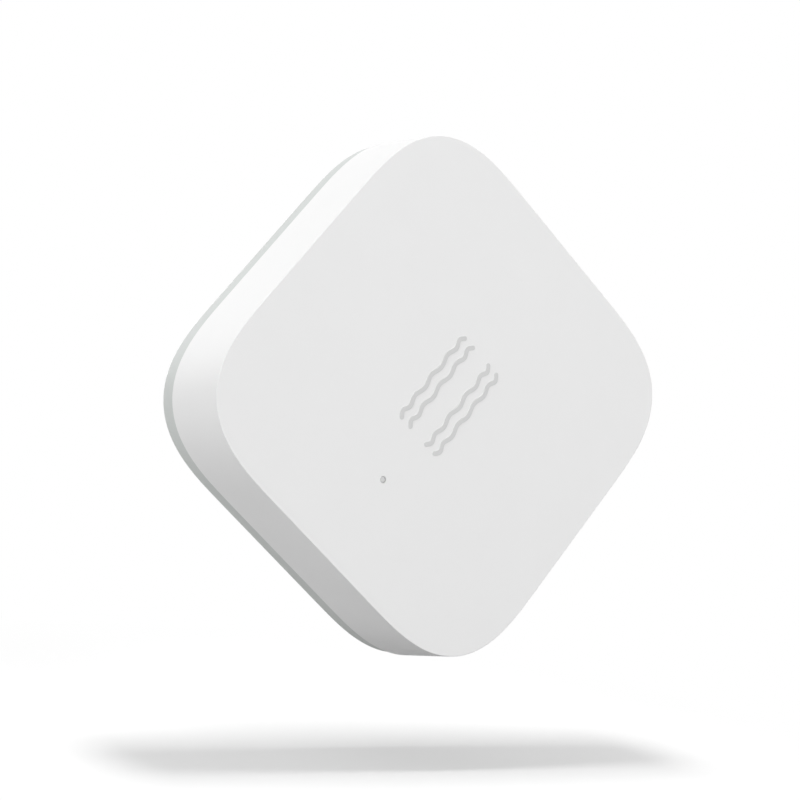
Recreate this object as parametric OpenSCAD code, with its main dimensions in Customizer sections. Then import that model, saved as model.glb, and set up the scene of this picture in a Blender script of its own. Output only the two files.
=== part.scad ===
// Vibration sensor tag: a square, soft-cornered sensor that sticks to a wall, door or appliance.
// It is drawn flat, with z running from the wall to the face, and is stood on its corner by place().

/* [Casing] */
// Width of the tag at its widest edge, where the shell meets the rear cover
tag_w = 44; // [40:0.5:60]
// Reach of a corner's curve along each side
corner_size = 14.3; // [10:0.1:18]
// Power of a corner's curve, where 2 is round and more is squarer
corner_power = 3; // [2:0.1:4]
// Slope of the shell's side walls in degrees
draft = 3; // [1:0.5:5]
// Thickness of the shell's side walls
wall_t = 1.4; // [1:0.1:2]
// Thickness of the shell's face
face_t = 1.4; // [1:0.1:2]
// Room between the circuit board and the inside of the face
front_room = 2.8; // [2.8:0.1:5]

/* [Rear cover] */
// Depth of the rear cover's visible rim
cover_h = 2.5; // [2:0.05:3]
// Thickness of the rear cover's floor
cover_floor = 1.55; // [1.1:0.05:1.8]
// Step from the shell's edge in to the rear cover's rim
cover_step = 0.1; // [0.05:0.05:0.4]
// Chamfer on the rear cover's back edge
cover_edge = 0.3; // [0.1:0.1:0.6]
// Height of the plug that pushes into the shell
plug_h = 1.8; // [1:0.1:2.2]
// Wall of the plug
plug_t = 1; // [0.8:0.1:1.5]
// Gap between the plug and the shell
plug_gap = 0.1; // [0.05:0.01:0.2]
// Length of the notch for a fingernail
notch_w = 7; // [5:0.5:10]
// Depth of the notch into the rim
notch_d = 0.9; // [0.5:0.1:1.2]
// Height of the notch under the shell's edge
notch_h = 0.8; // [0.5:0.1:1.2]

/* [Adhesive pad] */
// Thickness of the pad
pad_t = 0.8; // [0.6:0.1:1.2]
// Height of the pad above the rear cover's back
pad_proud = 0.3; // [0.2:0.1:0.5]
// Distance from the tag's edge in to the pad
pad_inset = 4; // [3:0.5:8]
// Gap around the pad in its pocket
pad_gap = 0.15; // [0.1:0.05:0.4]

/* [Symbol] */
// Length of a stroke, from tip to tip
stroke_l = 11.6; // [9:0.1:16]
// Width of a stroke
stroke_w = 0.5; // [0.3:0.05:0.6]
// Distance from the middle to the inner strokes
stroke_in = 1.5; // [1.2:0.05:3]
// Distance from an inner stroke to its outer neighbour
stroke_pitch = 1.36; // [1.2:0.02:2]
// Sideways swing of a stroke from its line
wave_swing = 0.165; // [0.1:0.005:0.2]
// Least length of one wave, which sets how many a stroke has
wave_l = 2.4; // [2.2:0.05:4]
// Share of the waves that is drawn together towards the tips
wave_gather = 0.15; // [0:0.01:0.2]
// Length of the hook at each tip
hook_l = 0.6; // [0.4:0.02:1]
// Inner radius of the bend before a hook
hook_bend = 0.05; // [0.02:0.01:0.1]
// Depth of the groove that holds a stroke
symbol_sink = 0.2; // [0.1:0.05:0.5]
// Height of a stroke above the face
symbol_proud = 0.05; // [0.02:0.01:0.1]

/* [Indicator] */
// Distance from the middle of the face to the indicator
led_off = 11.6; // [9:0.1:15]
// Diameter of the light pipe's tip
tip_d = 0.65; // [0.5:0.05:2]
// Depth of the tip below the face
tip_sink = 0.05; // [0.02:0.01:0.2]
// Diameter of the light pipe's flange
pipe_flange_d = 2.6; // [2.4:0.1:4]
// Thickness of the light pipe's flange
pipe_flange_t = 0.8; // [0.5:0.1:1.2]
// Diameter of the light pipe's lower end
pipe_stem_d = 1.6; // [1:0.1:2.2]
// Gap between the light pipe and its hole
pipe_gap = 0.03; // [0.02:0.01:0.1]
// Gap between the lamp and the light pipe
lamp_gap = 0.2; // [0.1:0.05:0.4]
// Wall of the socket that holds the flange
socket_t = 0.8; // [0.6:0.1:1.2]
// Size of the lamp: length, width and height
lamp_size = [1.6, 0.8, 0.6]; // [0.3:0.1:2]

/* [Button and switch] */
// Length of the button
button_w = 5; // [4:0.1:7]
// Height of the button
button_h = 1.8; // [1.4:0.1:2]
// Height of the button above the side wall
button_proud = 0.2; // [0.1:0.05:0.2]
// Gap around the button in its opening
button_gap = 0.1; // [0.05:0.01:0.2]
// Reach of the button's lip behind the wall
lip_w = 0.5; // [0.3:0.05:0.6]
// Thickness of the lip
lip_t = 0.75; // [0.5:0.05:1]
// Travel of the button
press_travel = 0.3; // [0.2:0.05:0.4]
// Size of the switch: width, depth and height
switch_size = [4.4, 2.8, 1.7]; // [1:0.1:6]
// Thickness of the switch's metal frame
frame_t = 0.15; // [0.1:0.05:0.3]
// Width of the plunger
plunger_w = 2.2; // [1.5:0.1:3]
// Height of the plunger
plunger_h = 0.8; // [0.6:0.1:1]
// Reach of the plunger out of the switch at rest
plunger_out = 0.7; // [0.6:0.05:1]
// Length of the plunger inside the switch
plunger_in = 1; // [0.6:0.1:1.4]
// Gap around the plunger
plunger_gap = 0.05; // [0.03:0.01:0.1]
// Height of the plunger's middle above the board
plunger_z = 0.9; // [0.8:0.05:1]

/* [Circuit board] */
// Thickness of the board
board_t = 1; // [0.8:0.1:1.6]
// Gap between the board's edge and the shell
board_gap = 0.8; // [0.5:0.1:2]
// Distance from the board's sides in to a screw
screw_inset = 6.6; // [5.5:0.1:8]
// Diameter of a screw's thread
screw_d = 1.6; // [1.4:0.1:2]
// Reach of a screw into its boss
screw_bite = 2.2; // [1.6:0.1:2.4]
// Diameter of a screw's head
head_d = 3; // [2.6:0.1:3.6]
// Height of a screw's head
head_h = 0.8; // [0.6:0.1:1]
// Length of the cross in a screw's head
cross_l = 2; // [1.2:0.1:2.4]
// Width of the cross in a screw's head
cross_w = 0.5; // [0.3:0.1:0.7]
// Depth of the cross in a screw's head
cross_h = 0.4; // [0.2:0.1:0.5]
// Diameter of a boss
boss_d = 4.2; // [3.4:0.1:5]
// Gap around a screw in its boss
thread_gap = 0.02; // [0.01:0.01:0.05]
// Gap around a screw or peg in the board
hole_gap = 0.1; // [0.05:0.05:0.2]

/* [Coin cell] */
// Diameter of the cell
cell_d = 20; // [16:0.5:24]
// Thickness of the cell
cell_h = 3.2; // [2.5:0.1:5]
// Thickness of the cell's sheet metal
cell_t = 0.25; // [0.2:0.05:0.4]
// Step from the can's rim up to the cap
cap_step = 0.3; // [0.2:0.05:0.5]
// Distance from the cell's edge in to the cap
cap_inset = 1.2; // [1:0.1:2]
// Gap between the cell and the rear cover
cell_gap = 0.25; // [0.1:0.05:0.6]
// Gap between the cell and the pressing ring on the rear cover
ring_gap = 0.05; // [0.03:0.01:0.08]
// Diameter of the pressing ring
ring_d = 14; // [10:0.5:15]
// Width of the pressing ring
ring_w = 1.2; // [0.8:0.1:2]

/* [Battery holder] */
// Thickness of the seat between the cell and the board
seat_t = 0.75; // [0.7:0.05:1.2]
// Reach of the seat under the cell
seat_w = 2; // [1.6:0.1:3]
// Thickness of the holder's wall
holder_t = 1.4; // [1.2:0.1:2]
// Gap between the cell and the holder
holder_gap = 0.25; // [0.1:0.05:0.4]
// Height of the cell above the holder's rim
cell_proud = 0.6; // [0.3:0.1:1]
// Width of the opening for prying the cell out
pry_w = 8; // [6:0.5:10]
// Diameter of the holder's pegs
peg_d = 1; // [0.8:0.1:1.2]
// Thickness of the contacts' sheet metal
contact_t = 0.2; // [0.15:0.01:0.25]
// Width of the contacts
contact_w = 4; // [3:0.1:5]
// Length of the contact under the cell
leaf_l = 10; // [8:0.5:12]
// Reach of the side contact's foot along the board
foot_l = 3.4; // [2.5:0.1:4]
// Gap between the contacts and the cell
touch_gap = 0.03; // [0.02:0.01:0.05]
// Height of the side contact's bump above the holder's rim
bump_z = 1; // [0.5:0.1:2]
// Gap around the side contact in the holder
slot_gap = 1; // [0.5:0.1:1.5]

/* [Board parts] */
// Size of the shield can: width, length and height
shield_size = [13, 11, 1.9]; // [1:0.1:16]
// Place of the shield can's middle
shield_at = [-5.2, 1.5]; // [-8:0.1:8]
// Thickness of the shield can
shield_t = 0.2; // [0.15:0.05:0.3]
// Size of the radio chip
radio_size = [6, 6, 0.9]; // [0.5:0.1:8]
// Place of the radio chip from the shield can's middle
radio_at = [-2, 1]; // [-3:0.1:3]
// Size of the crystal
crystal_size = [2.5, 3.2, 0.8]; // [0.5:0.1:4]
// Place of the crystal from the shield can's middle
crystal_at = [4, 1.5]; // [-5:0.1:5]
// Size of the motion sensor
motion_size = [3, 3, 1]; // [0.5:0.1:4]
// Place of the motion sensor
motion_at = [5.5, -4]; // [-10:0.1:10]
// Size of the memory chip
memory_size = [5, 4, 1.5]; // [0.5:0.1:6]
// Place of the memory chip
memory_at = [7, 4.5]; // [-10:0.1:10]
// Size of the voltage regulator
regulator_size = [2.9, 1.6, 1.1]; // [0.5:0.1:4]
// Place of the voltage regulator
regulator_at = [-6, -8.2]; // [-10:0.1:10]
// Size of the chip antenna
antenna_size = [2, 7, 1.2]; // [0.5:0.1:9]
// Distance from the board's side in to the chip antenna
antenna_inset = 2.2; // [1.5:0.1:4]
// Size of a capacitor
capacitor_size = [1, 0.5, 0.5]; // [0.3:0.1:2]
// Size of a resistor
resistor_size = [1, 0.5, 0.35]; // [0.3:0.05:2]
// Pitch of a row of small parts
row_pitch = 1.3; // [1:0.1:2]
// Count of capacitors in their row
capacitor_count = 6; // [3:1:7]
// Count of resistors in their row
resistor_count = 5; // [3:1:7]
// Place of the first capacitor
capacitor_at = [3.2, -10]; // [-12:0.1:12]
// Place of the first resistor
resistor_at = [3.2, 8.6]; // [-12:0.1:12]

/* [Hidden] */
$fn = 48;

// Overcut that keeps a cut's face off the face that it passes through
over = 0.5;
// Overlap that joins two shapes of one piece
lap = 0.2;
// Step used to measure a stroke's slope
nudge = 0.01;
// Turn of the battery holder's pegs about the cell, in degrees
peg_turn = 135;
// Points along each corner's curve and along each stroke
corner_steps = 20;
stroke_steps = 80;
// Power that draws the waves together only near a stroke's tips
gather_power = 5;
// Places along a stroke, from its middle
tip_y = (stroke_l - stroke_w) / 2;
hook_y = tip_y - hook_l;
// Whole waves from the middle of a stroke to each hook
wave_count = floor(hook_y / wave_l);
// Radius of the bend along the middle of a stroke
bend_r = hook_bend + stroke_w / 2;
half_w = tag_w / 2;

// Heights from the wall, stacked from the pad to the face
floor_z = pad_proud + cover_floor;
rim_z = pad_proud + cover_h;
cell_z = floor_z + cell_gap;
cell_top = cell_z + cell_h;
board_z = cell_top + seat_t;
board_top = board_z + board_t;
roof_z = board_top + front_room;
face_z = roof_z + face_t;
button_z = board_top + plunger_z;

// Round places
cell_r = cell_d / 2;
cap_r = cell_r - cap_inset;
holder_in = cell_r + holder_gap;
holder_out = holder_in + holder_t;
peg_r = (holder_in + holder_out) / 2;
pilot_d = screw_d + 2 * thread_gap;

// Places along the button's path, from the side wall inwards
lip_h = button_h + 2 * lip_w;
button_out = half_w * draft_k(button_z) + button_proud;
lip_y = (half_w - wall_t) * draft_k(button_z + lip_h / 2) - button_gap;
plunger_tip = lip_y - lip_t;
switch_y = plunger_tip - plunger_out;

// Board places
board_half = half_w - wall_t - board_gap;
screw_at = board_half - screw_inset;

// Colours
shell_white = [0.93, 0.93, 0.93];
symbol_grey = [0.62, 0.62, 0.62];
cover_grey = [0.78, 0.80, 0.79];
foam_grey = [0.55, 0.56, 0.57];
board_green = [0.10, 0.35, 0.22];
steel = [0.72, 0.73, 0.75];
chip_black = [0.10, 0.10, 0.11];
ceramic_tan = [0.72, 0.62, 0.48];
nylon_black = [0.16, 0.16, 0.17];
lens_clear = [0.80, 0.82, 0.84];

// Share of its full width that the drafted casing has at height z
function draft_k(z) = 1 - (z - rim_z) * tan(draft) / half_w;

// The tag's outline, moved inwards by inset: four straight sides joined by soft corners
function corner(half, size) = [
    for (i = [0 : corner_steps])
        let (a = 90 * i / corner_steps, p = 2 / corner_power)
        [half - size + size * pow(cos(a), p), half - size + size * pow(sin(a), p)]
];
function turned(p, a) = [p[0] * cos(a) - p[1] * sin(a), p[0] * sin(a) + p[1] * cos(a)];
function outline(inset) = [
    for (q = [0 : 3], p = corner(half_w - inset, corner_size - inset)) turned(p, 90 * q)
];

// A stroke's swing: waves that shorten towards its tips, then a hook that runs off at 45 degrees
function waves(u) = wave_count * ((1 - wave_gather) * u + wave_gather * pow(u, gather_power));
function hook(t) = bend_r - sqrt(t * t + bend_r * bend_r);
function swing(y) = let (a = abs(y))
    a < hook_y ? wave_swing * cos(360 * waves(a / hook_y)) : wave_swing + hook(a - hook_y);
function swing_slope(y) = (swing(y + nudge) - swing(y - nudge)) / (2 * nudge);
function stroke_side(side) = [
    for (i = [0 : stroke_steps])
        let (
            y = tip_y * (2 * i / stroke_steps - 1),
            m = swing_slope(y),
            n = side * stroke_w / 2 / sqrt(1 + m * m)
        )
        [swing(y) + n, y - n * m]
];
function reversed(list) = [for (i = [len(list) - 1 : -1 : 0]) list[i]];

// Stands the flat tag on its corner, with its face towards the viewer
module place() {
    rotate([90, 0, 0])
        rotate([0, 0, -45])
            children();
}

// A straight plate of the tag's outline
module plate(inset, z0, z1) {
    translate([0, 0, z0])
        linear_extrude(z1 - z0)
            polygon(outline(inset));
}

// A plate whose sides follow the casing's draft
module drafted(inset, z0, z1) {
    translate([0, 0, z0])
        linear_extrude(z1 - z0, scale = draft_k(z1) / draft_k(z0))
            scale(draft_k(z0))
                polygon(outline(inset));
}

// A bar along y, from a flat shape drawn in x and z
module along_y(y0, y1, z) {
    translate([0, y1, z])
        rotate([90, 0, 0])
            linear_extrude(y1 - y0)
                children();
}

module pill(w, h) {
    square([w - h, h], center = true);
    for (side = [-1, 1])
        translate([side * (w - h) / 2, 0])
            circle(d = h);
}

// A block that stands on the board's front
module on_board(at, size) {
    translate([at[0] - size[0] / 2, at[1] - size[1] / 2, board_top])
        cube(size);
}

// One block for each place in a row of small parts
module row_on_board(at, size, count) {
    for (i = [0 : count - 1])
        on_board([at[0] + i * row_pitch, at[1]], [size[1], size[0], size[2]]);
}

module at_screws() {
    for (x = [-1, 1], y = [-1, 1])
        translate([x * screw_at, y * screw_at, 0])
            children();
}

module at_pegs() {
    for (side = [-1, 1])
        rotate([0, 0, peg_turn])
            translate([side * peg_r, 0, 0])
                children();
}

// The four strokes, from height z0 to z1
module strokes(z0, z1) {
    for (side = [-1, 1], x = [stroke_in, stroke_in + stroke_pitch])
        translate([side * x, 0, z0])
            scale([side, 1, 1])
                linear_extrude(z1 - z0)
                    stroke();
}

module stroke() {
    polygon(concat(stroke_side(1), reversed(stroke_side(-1))));
    for (y = [-tip_y, tip_y])
        translate([swing(y), y])
            circle(d = stroke_w);
}

module front_shell() {
    socket_d = pipe_flange_d + 2 * (pipe_gap + socket_t);
    color(shell_white) place() difference() {
        union() {
            difference() {
                drafted(0, rim_z, face_z);
                drafted(wall_t, rim_z - over, roof_z);
            }
            at_screws()
                translate([0, 0, board_top])
                    cylinder(d = boss_d, h = front_room + lap);
            translate([0, -led_off, roof_z - pipe_flange_t])
                cylinder(d = socket_d, h = pipe_flange_t + lap);
        }
        at_screws()
            translate([0, 0, board_top - over])
                cylinder(d = pilot_d, h = screw_bite + thread_gap + over);
        translate([0, -led_off, roof_z - pipe_flange_t - over])
            cylinder(d = pipe_flange_d + 2 * pipe_gap, h = pipe_flange_t + over);
        translate([0, -led_off, roof_z - over])
            cylinder(d = tip_d + 2 * pipe_gap, h = face_t + 2 * over);
        along_y(lip_y, half_w + over, button_z)
            pill(button_w + 2 * button_gap, button_h + 2 * button_gap);
        strokes(face_z - symbol_sink, face_z + over);
    }
}

module wave_symbol() {
    color(symbol_grey) place()
        strokes(face_z - symbol_sink, face_z + symbol_proud);
}

module light_pipe() {
    lamp_top = board_top + lamp_size[2];
    color(lens_clear) place() translate([0, -led_off, 0]) {
        translate([0, 0, lamp_top + lamp_gap])
            cylinder(d = pipe_stem_d, h = roof_z - lamp_top - lamp_gap);
        translate([0, 0, roof_z - pipe_flange_t])
            cylinder(d = pipe_flange_d, h = pipe_flange_t);
        translate([0, 0, roof_z - pipe_flange_t])
            cylinder(d = tip_d, h = pipe_flange_t + face_t - tip_sink);
    }
}

module reset_button() {
    color(shell_white) place() {
        along_y(plunger_tip, button_out, button_z)
            pill(button_w, button_h);
        along_y(plunger_tip, lip_y, button_z)
            pill(button_w + 2 * lip_w, lip_h);
    }
}

// Widens at 45 degrees from the rear cover's back, and so trims the chamfer on its edge
module edge_cone() {
    back_half = half_w - cover_step - cover_edge;
    translate([0, 0, pad_proud])
        linear_extrude(2 * cover_h, scale = 1 + 2 * cover_h / back_half)
            scale(back_half / (half_w - cover_step))
                polygon(outline(cover_step));
}

module rear_cover() {
    inside = wall_t + plug_gap + plug_t;
    color(cover_grey) place() {
        difference() {
            union() {
                intersection() {
                    plate(cover_step, pad_proud, rim_z);
                    edge_cone();
                }
                drafted(wall_t + plug_gap, rim_z - lap, rim_z + plug_h);
            }
            plate(inside, floor_z, rim_z + plug_h + over);
            plate(pad_inset - pad_gap, pad_proud - over, pad_t);
            translate([half_w - cover_step - notch_d, -notch_w / 2, rim_z - notch_h])
                cube([notch_d + over, notch_w, notch_h + over]);
        }
        translate([0, 0, floor_z - lap])
            linear_extrude(lap + cell_gap - ring_gap)
                difference() {
                    circle(d = ring_d);
                    circle(d = ring_d - 2 * ring_w);
                }
    }
}

module adhesive_pad() {
    color(foam_grey) place()
        plate(pad_inset, 0, pad_t);
}

module circuit_board() {
    notch_x = button_w + 2 * lip_w + 2 * slot_gap;
    color(board_green) place() difference() {
        translate([0, 0, board_z])
            linear_extrude(board_t)
                scale(draft_k(board_top))
                    polygon(outline(wall_t + board_gap));
        at_screws()
            translate([0, 0, board_z - over])
                cylinder(d = screw_d + 2 * hole_gap, h = board_t + 2 * over);
        at_pegs()
            translate([0, 0, board_z - over])
                cylinder(d = peg_d + 2 * hole_gap, h = board_t + 2 * over);
        translate([-notch_x / 2, switch_y, board_z - over])
            cube([notch_x, half_w, board_t + 2 * over]);
    }
}

module board_screws() {
    color(steel) place() at_screws() difference() {
        union() {
            translate([0, 0, board_z - head_h])
                cylinder(d = head_d, h = head_h);
            translate([0, 0, board_z - lap])
                cylinder(d = screw_d, h = lap + board_t + screw_bite);
        }
        for (a = [0, 90])
            rotate([0, 0, a])
                translate([-cross_l / 2, -cross_w / 2, board_z - head_h - over])
                    cube([cross_l, cross_w, cross_h + over]);
    }
}

module switch_base() {
    depth = plunger_in + press_travel + plunger_gap;
    inner_w = switch_size[0] - 2 * frame_t;
    color(nylon_black) place() difference() {
        translate([-inner_w / 2, switch_y - switch_size[1], board_top])
            cube([inner_w, switch_size[1], switch_size[2] - frame_t]);
        along_y(switch_y - depth, switch_y + over, button_z)
            square([plunger_w + 2 * plunger_gap, plunger_h + 2 * plunger_gap], center = true);
    }
}

module switch_frame() {
    inner_w = switch_size[0] - 2 * frame_t;
    color(steel) place() difference() {
        translate([-switch_size[0] / 2, switch_y - switch_size[1], board_top])
            cube(switch_size);
        translate([-inner_w / 2, switch_y - switch_size[1] - over, board_top - over])
            cube([inner_w, switch_size[1] + 2 * over, switch_size[2] - frame_t + over]);
    }
}

module switch_plunger() {
    color(nylon_black) place()
        along_y(switch_y - plunger_in, plunger_tip, button_z)
            square([plunger_w, plunger_h], center = true);
}

module indicator_led() {
    color(lens_clear) place()
        on_board([0, -led_off], lamp_size);
}

module shield_can() {
    inner = [shield_size[0] - 2 * shield_t, shield_size[1] - 2 * shield_t, shield_size[2] - shield_t];
    color(steel) place() difference() {
        on_board(shield_at, shield_size);
        translate([0, 0, -over])
            on_board(shield_at, [inner[0], inner[1], inner[2] + over]);
    }
}

module radio_chip() {
    color(chip_black) place()
        on_board(shield_at + radio_at, radio_size);
}

module crystal() {
    color(steel) place()
        on_board(shield_at + crystal_at, crystal_size);
}

module motion_sensor() {
    color(chip_black) place()
        on_board(motion_at, motion_size);
}

module memory_chip() {
    color(chip_black) place()
        on_board(memory_at, memory_size);
}

module regulator() {
    color(chip_black) place()
        on_board(regulator_at, regulator_size);
}

module chip_antenna() {
    color(ceramic_tan) place()
        on_board([board_half - antenna_inset, 0], antenna_size);
}

module capacitors() {
    color(ceramic_tan) place()
        row_on_board(capacitor_at, capacitor_size, capacitor_count);
}

module resistors() {
    color(chip_black) place()
        row_on_board(resistor_at, resistor_size, resistor_count);
}

module battery_holder() {
    rim = cell_z + cell_proud;
    slot_w = contact_w + 2 * slot_gap;
    color(nylon_black) place() {
        difference() {
            translate([0, 0, rim])
                cylinder(r = holder_out, h = board_z - rim);
            translate([0, 0, rim - over])
                cylinder(r = holder_in, h = cell_top - rim + over);
            translate([0, 0, rim - over])
                cylinder(r = cell_r - seat_w, h = board_z - rim + 2 * over);
            translate([cell_r - holder_gap, -slot_w / 2, rim - over])
                cube([holder_out, slot_w, board_z - rim + 2 * over]);
            translate([-holder_out - over, -pry_w / 2, rim - over])
                cube([holder_out, pry_w, cell_top - rim + over]);
        }
        at_pegs()
            translate([0, 0, board_z - lap])
                cylinder(d = peg_d, h = lap + board_t);
    }
}

// A leaf on the board's back that slopes down to the cell's cap
module negative_contact() {
    low = cell_top + touch_gap;
    high = board_z - contact_t;
    color(steel) place() {
        translate([-leaf_l / 2, -contact_w / 2, high])
            cube([leaf_l / 2, contact_w, contact_t]);
        translate([0, contact_w / 2, 0])
            rotate([90, 0, 0])
                linear_extrude(contact_w)
                    polygon([
                        [-leaf_l / 4, board_z], [-leaf_l / 4, high],
                        [leaf_l / 4, low], [leaf_l / 2, low],
                        [leaf_l / 2, low + contact_t], [leaf_l / 4, low + contact_t]
                    ]);
    }
}

// A bent strip that stands on the board's back and presses the can's side
module positive_contact() {
    near = cell_r + holder_gap;
    bump_r = holder_gap - touch_gap;
    tip = cell_z + cell_proud;
    color(steel) place() {
        translate([near, -contact_w / 2, board_z - contact_t])
            cube([foot_l, contact_w, contact_t]);
        translate([near, -contact_w / 2, tip])
            cube([contact_t, contact_w, board_z - tip]);
        intersection() {
            translate([near, contact_w / 2, tip + bump_z])
                rotate([90, 0, 0])
                    cylinder(r = bump_r, h = contact_w);
            translate([near - bump_r - over, -contact_w, tip])
                cube([bump_r + over + contact_t / 2, 2 * contact_w, cell_h]);
        }
    }
}

// Cup with its rim turned in over the gasket
module cell_can() {
    rim = cell_h - cap_step;
    color(steel) place() translate([0, 0, cell_z]) difference() {
        cylinder(r = cell_r, h = rim);
        translate([0, 0, cell_t])
            cylinder(r = cell_r - cell_t, h = rim - 2 * cell_t);
        translate([0, 0, cell_t])
            cylinder(r = cell_r - cap_inset / 2, h = rim);
    }
}

module cell_gasket() {
    rim = cell_h - cap_step;
    color(nylon_black) place() translate([0, 0, cell_z]) difference() {
        union() {
            translate([0, 0, cell_t])
                cylinder(r = cell_r - cell_t, h = rim - 2 * cell_t);
            translate([0, 0, cell_t])
                cylinder(r = cell_r - cap_inset / 2, h = rim - cell_t);
        }
        translate([0, 0, cell_t - over])
            cylinder(r = cap_r, h = rim + over);
    }
}

module cell_cap() {
    rim = cell_h - cap_step;
    color(steel) place() translate([0, 0, cell_z]) difference() {
        translate([0, 0, rim / 2])
            cylinder(r = cap_r, h = cell_h - rim / 2);
        translate([0, 0, rim / 2 - over])
            cylinder(r = cap_r - cell_t, h = cell_h - rim / 2 - cell_t + over);
    }
}

module cell_core() {
    color(nylon_black) place() translate([0, 0, cell_z + cell_t])
        cylinder(r = cap_r - cell_t, h = cell_h - 2 * cell_t);
}

front_shell();
wave_symbol();
light_pipe();
reset_button();
rear_cover();
adhesive_pad();
circuit_board();
board_screws();
switch_base();
switch_frame();
switch_plunger();
indicator_led();
shield_can();
radio_chip();
crystal();
motion_sensor();
memory_chip();
regulator();
chip_antenna();
capacitors();
resistors();
battery_holder();
negative_contact();
positive_contact();
cell_can();
cell_gasket();
cell_cap();
cell_core();
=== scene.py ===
import math

import bmesh
import bpy
from mathutils import Matrix, Vector


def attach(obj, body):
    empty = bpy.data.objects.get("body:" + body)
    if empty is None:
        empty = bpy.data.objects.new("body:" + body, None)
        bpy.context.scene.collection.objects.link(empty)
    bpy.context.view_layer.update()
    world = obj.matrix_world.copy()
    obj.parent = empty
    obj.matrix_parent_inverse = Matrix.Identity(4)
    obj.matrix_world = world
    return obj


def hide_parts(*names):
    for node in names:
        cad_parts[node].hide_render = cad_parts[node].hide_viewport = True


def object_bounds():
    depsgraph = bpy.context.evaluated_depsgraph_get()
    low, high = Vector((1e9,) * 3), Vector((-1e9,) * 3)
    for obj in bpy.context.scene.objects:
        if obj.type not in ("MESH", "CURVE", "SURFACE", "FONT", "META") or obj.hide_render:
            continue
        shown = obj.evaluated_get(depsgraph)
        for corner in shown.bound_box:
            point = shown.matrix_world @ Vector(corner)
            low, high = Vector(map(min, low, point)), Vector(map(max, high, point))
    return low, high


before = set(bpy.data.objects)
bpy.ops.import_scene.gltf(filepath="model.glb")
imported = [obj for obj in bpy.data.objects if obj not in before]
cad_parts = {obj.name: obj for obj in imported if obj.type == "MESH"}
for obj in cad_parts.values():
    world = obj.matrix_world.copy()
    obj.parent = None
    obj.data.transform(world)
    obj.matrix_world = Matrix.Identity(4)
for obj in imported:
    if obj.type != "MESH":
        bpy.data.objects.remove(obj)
cadLow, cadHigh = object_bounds()
scene = bpy.context.scene
mm = 0.001
past = 1 * mm  # how far a cutter overshoots
sameHeight = 1e-7
sameSpot = 1e-8  # nearer corners are merged
sharpEdge = math.radians(32)  # edges that turn more aren't smoothed
quarterTurn = math.radians(90)
upwards = Vector((0, 0, 1))

# The tag is modelled lying flat: x along one side, y along the wave strokes, z from the wall to the face.
standUp = Matrix.Rotation(quarterTurn, 4, "X") @ Matrix.Rotation(-quarterTurn / 2, 4, "Z")
layFlat = standUp.inverted()

tag = {
    "width": 44 * mm,  # at the shell's rear edge
    "corner": 14.3 * mm,  # along a side
    "power": 3,  # 2 would be a round corner
    "draft": 3,  # of the side walls, degrees
    "cornerSteps": 36,
}


def flatBox(node):
    # lowest and highest corners of a CAD node, with the tag lying flat
    points = [layFlat @ vert.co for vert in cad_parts[node].data.vertices]
    return [Vector([pick(p[i] for p in points) for i in range(3)]) for pick in (min, max)]


shellLow, shellHigh = flatBox("front_shell")
symbolLow, symbolHigh = flatBox("wave_symbol")
buttonLow, buttonHigh = flatBox("reset_button")
pipeLow, pipeHigh = flatBox("light_pipe")
coverLow, coverHigh = flatBox("rear_cover")
padLow, padHigh = flatBox("adhesive_pad")
boardLow, boardHigh = flatBox("circuit_board")
screwLow, screwHigh = flatBox("board_screws")
holderLow, holderHigh = flatBox("battery_holder")
canLow, canHigh = flatBox("cell_can")
capLow, capHigh = flatBox("cell_cap")
switchLow, switchHigh = flatBox("switch_frame")
rimZ = shellLow.z
faceZ = shellHigh.z


# outlines

def draftScale(z):
    # share of the rear edge's width left at height z
    slope = math.tan(math.radians(tag["draft"]))
    return 1 - (z - rimZ) * slope / (tag["width"] / 2)


def outline(inset=0.0):
    # square with soft corners
    half = tag["width"] / 2 - inset
    reach = tag["corner"] - inset
    steps = tag["cornerSteps"]
    points = []
    for quarter in range(4):
        turn = Matrix.Rotation(quarterTurn * quarter, 2)
        for i in range(steps + 1):
            angle = quarterTurn * i / steps
            curve = [max(c, 0) ** (2 / tag["power"]) for c in (math.cos(angle), math.sin(angle))]
            points.append(turn @ Vector([half - reach + reach * c for c in curve]))
    return points


def pillOutline(width, height, steps=16):
    points = []
    for side in (1, -1):
        for i in range(steps + 1):
            angle = quarterTurn * (2 * i / steps - 1)
            x = side * ((width - height) / 2 + height / 2 * math.cos(angle))
            points.append(Vector((x, side * height / 2 * math.sin(angle))))
    return points


def arcPoints(centre, radius, start, end, steps=8):
    # angles in degrees
    angles = [math.radians(start + (end - start) * i / steps) for i in range(steps + 1)]
    return [(centre[0] + radius * math.cos(a), centre[1] + radius * math.sin(a)) for a in angles]


def sectorOutline(inner, outer, start, end, steps):
    out = arcPoints((0, 0), outer, start, end, steps)
    back = arcPoints((0, 0), inner, end, start, steps)
    return [Vector(p) for p in out + back]


# shapes

def flatFace(bm, points, z):
    return bm.faces.new([bm.verts.new((*p, z)) for p in points])


def liftFace(bm, face, z, scale=1.0):
    # extrudes a level face to height z
    start = face.verts[0].co.z
    made = bmesh.ops.extrude_face_region(bm, geom=[face, *face.edges, *face.verts])["geom"]
    verts = [g for g in made if isinstance(g, bmesh.types.BMVert)]
    bmesh.ops.scale(bm, vec=(scale, scale, 1), verts=verts)
    bmesh.ops.translate(bm, vec=(0, 0, z - start), verts=verts)
    return next(g for g in made if isinstance(g, bmesh.types.BMFace))


def prism(bm, points, low, high):
    return liftFace(bm, flatFace(bm, points, low), high)


def insetFace(bm, face, width):
    bmesh.ops.inset_region(bm, faces=[face], thickness=width, use_even_offset=True)
    return face


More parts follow.
